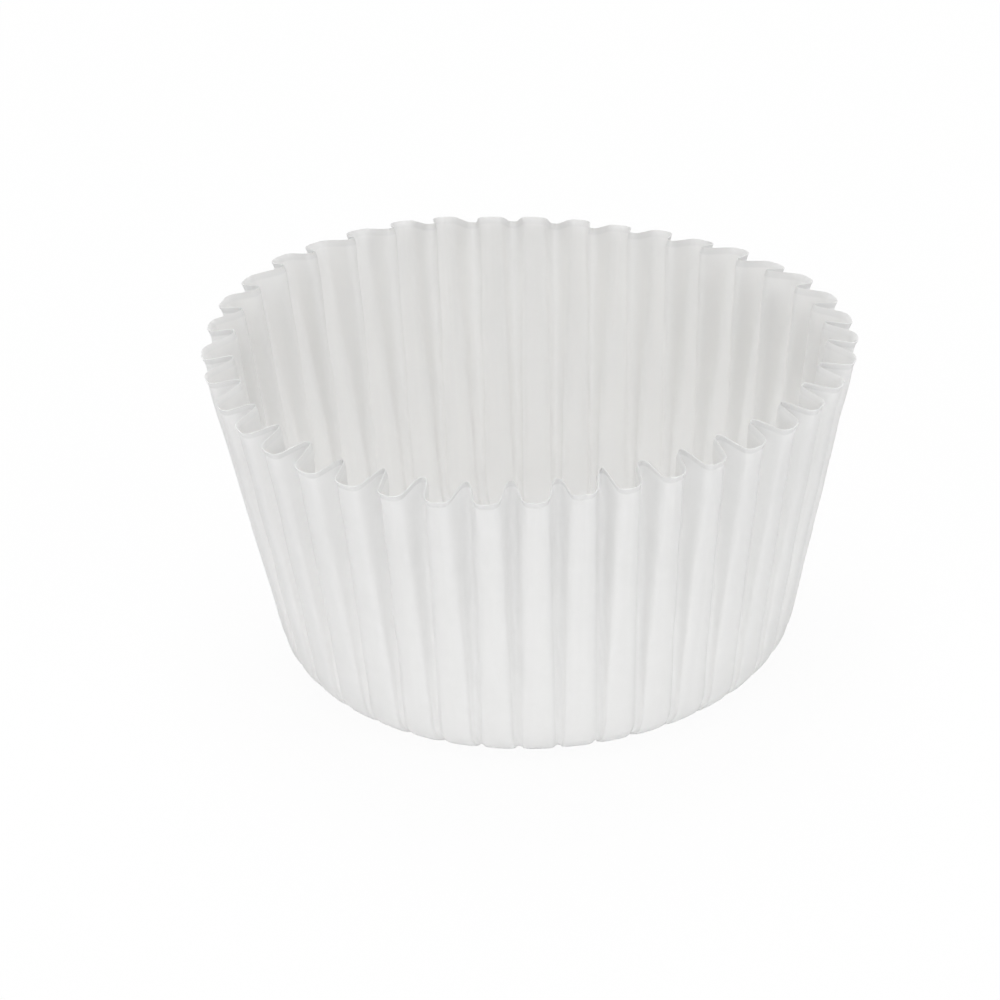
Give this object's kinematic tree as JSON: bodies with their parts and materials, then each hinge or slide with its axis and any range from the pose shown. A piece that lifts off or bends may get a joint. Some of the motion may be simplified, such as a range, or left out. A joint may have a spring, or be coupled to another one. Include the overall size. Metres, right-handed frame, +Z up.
{
  "type": "cupcake liner",
  "caption": "Pressed white paper cupcake liner with a flat round base and a wall of even, near-radial flutes, open at the top.",
  "frame": {"origin": "centre of the underside of the flat base, on the cup's axis", "axes": "+Z up along the cup's axis, towards its open top; +X runs out through the middle of a crest"},
  "size_m": [0.0626, 0.0626, 0.0334],
  "materials": {
    "baking_paper": "matte"
  },
  "bodies": {
    "root": {"liner": "baking_paper"}
  },
  "joints": []
}
